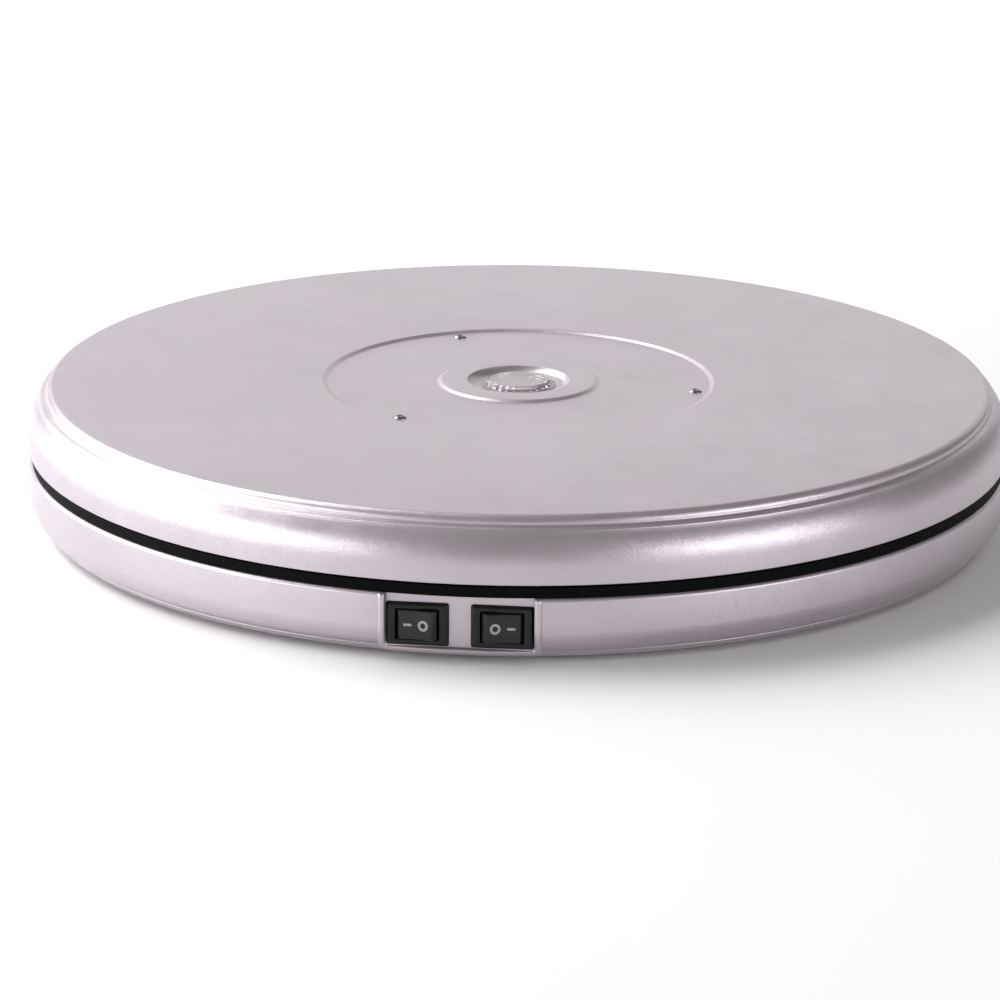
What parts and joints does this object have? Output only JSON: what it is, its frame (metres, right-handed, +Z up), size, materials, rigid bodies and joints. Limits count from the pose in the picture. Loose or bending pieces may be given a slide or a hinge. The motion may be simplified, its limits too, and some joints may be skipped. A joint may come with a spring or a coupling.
{
  "type": "turntable display stand",
  "caption": "Low round electric display turntable: a silver platter with a clear centre window turns on a base with two rocker switches and a rear mains inlet.",
  "frame": {"origin": "on the ground under the platter's axis", "axes": "+Z up along the platter's axis; the switch pocket faces -Y and the mains inlet faces +Y"},
  "size_m": [0.35, 0.35, 0.05],
  "materials": {
    "silver_platter": "fine metallic silver paint on moulded plastic, satin",
    "silver_base": "fine metallic silver paint on moulded plastic, satin",
    "black_ring": "matt black",
    "switch_black": "fine textured black",
    "rocker_black": "semi-gloss black",
    "clear_lens": "clear polished plastic",
    "rubber": "matt",
    "white_plastic": "natural moulded plastic",
    "steel": "zinc plated",
    "bright_steel": "polished",
    "brass": "bare",
    "board": "lacquered circuit board",
    "lamp": "phosphor",
    "reflector_chrome": "metallised plastic",
    "coil_copper": "enamelled copper",
    "lead_black": "soft insulation",
    "lead_red": "soft insulation"
  },
  "bodies": {
    "base": {"base_shell": "silver_base", "bottom_cover": "silver_base", "rubber_feet": "rubber", "cover_screws": "steel", "dust_ring": "black_ring", "switch_housing_left": "switch_black", "switch_housing_right": "switch_black", "switch_terminals": "brass", "inlet_housing": "switch_black", "inlet_pins": "brass", "centre_spindle": "white_plastic", "spindle_screws": "steel", "hub_clip": "steel", "lower_race": "bright_steel", "motor_can": "steel", "motor_coil": "coil_copper", "motor_lid": "steel", "motor_terminals": "white_plastic", "motor_screws": "steel", "roller_axles": "steel", "roller_brackets": "white_plastic", "bracket_screws": "steel", "led_board": "board", "led_screws": "steel", "led_emitter": "lamp", "reflector": "reflector_chrome", "driver_board": "board", "driver_screws": "steel", "driver_capacitor": "lead_red", "driver_rectifier": "switch_black", "wire_line": "lead_black", "wire_motor": "lead_red", "wire_lamp": "lead_black"},
    "turning_platter": {"platter": "silver_platter", "lens": "clear_lens", "lens_ring": "rubber", "platter_screws": "steel", "drive_gear": "white_plastic", "upper_race": "bright_steel"},
    "pinion": {"motor_pinion": "white_plastic", "motor_shaft": "steel"},
    "ball_set": {"ball_cage": "white_plastic", "bearing_balls": "bright_steel"},
    "roller_1": {"rim_roller_1": "rubber"},
    "roller_2": {"rim_roller_2": "rubber"},
    "roller_3": {"rim_roller_3": "rubber"},
    "roller_4": {"rim_roller_4": "rubber"},
    "roller_5": {"rim_roller_5": "rubber"},
    "roller_6": {"rim_roller_6": "rubber"},
    "left_rocker": {"rocker_left": "rocker_black"},
    "right_rocker": {"rocker_right": "rocker_black"}
  },
  "joints": [
    {"name": "platter_spin", "type": "hinge", "parent": "base", "child": "turning_platter", "pos_m": [0, 0, 0.03], "axis": [0, 0, 1], "continuous": true},
    {"name": "pinion_spin", "type": "hinge", "parent": "base", "child": "pinion", "pos_m": [0, 0.09, 0.03], "axis": [0, 0, 1], "continuous": true},
    {"name": "ball_orbit", "type": "hinge", "parent": "base", "child": "ball_set", "pos_m": [0, 0, 0.0282], "axis": [0, 0, 1], "continuous": true},
    {"name": "roller_1_spin", "type": "hinge", "parent": "base", "child": "roller_1", "pos_m": [0.1299, 0.075, 0.0367], "axis": [0.866, 0.5, 0], "continuous": true},
    {"name": "roller_2_spin", "type": "hinge", "parent": "base", "child": "roller_2", "pos_m": [0, 0.15, 0.0367], "axis": [0, 1, 0], "continuous": true},
    {"name": "roller_3_spin", "type": "hinge", "parent": "base", "child": "roller_3", "pos_m": [-0.1299, 0.075, 0.0367], "axis": [-0.866, 0.5, 0], "continuous": true},
    {"name": "roller_4_spin", "type": "hinge", "parent": "base", "child": "roller_4", "pos_m": [-0.1299, -0.075, 0.0367], "axis": [-0.866, -0.5, 0], "continuous": true},
    {"name": "roller_5_spin", "type": "hinge", "parent": "base", "child": "roller_5", "pos_m": [0, -0.15, 0.0367], "axis": [0, -1, 0], "continuous": true},
    {"name": "roller_6_spin", "type": "hinge", "parent": "base", "child": "roller_6", "pos_m": [0.1299, -0.075, 0.0367], "axis": [0.866, -0.5, 0], "continuous": true},
    {"name": "left_switch", "type": "hinge", "parent": "base", "child": "left_rocker", "pos_m": [-0.0141, -0.1707, 0.0128], "axis": [0, 0, 1], "range_deg": [0, 18]},
    {"name": "right_switch", "type": "hinge", "parent": "base", "child": "right_rocker", "pos_m": [0.0141, -0.1707, 0.0128], "axis": [0, 0, -1], "range_deg": [0, 18]}
  ],
  "couplings": [
    {"joint": "pinion_spin", "follows": "platter_spin", "ratio": -7},
    {"joint": "ball_orbit", "follows": "platter_spin", "ratio": 0.5},
    {"joint": "roller_1_spin", "follows": "platter_spin", "ratio": -20},
    {"joint": "roller_2_spin", "follows": "platter_spin", "ratio": -20},
    {"joint": "roller_3_spin", "follows": "platter_spin", "ratio": -20},
    {"joint": "roller_4_spin", "follows": "platter_spin", "ratio": -20},
    {"joint": "roller_5_spin", "follows": "platter_spin", "ratio": -20},
    {"joint": "roller_6_spin", "follows": "platter_spin", "ratio": -20}
  ]
}
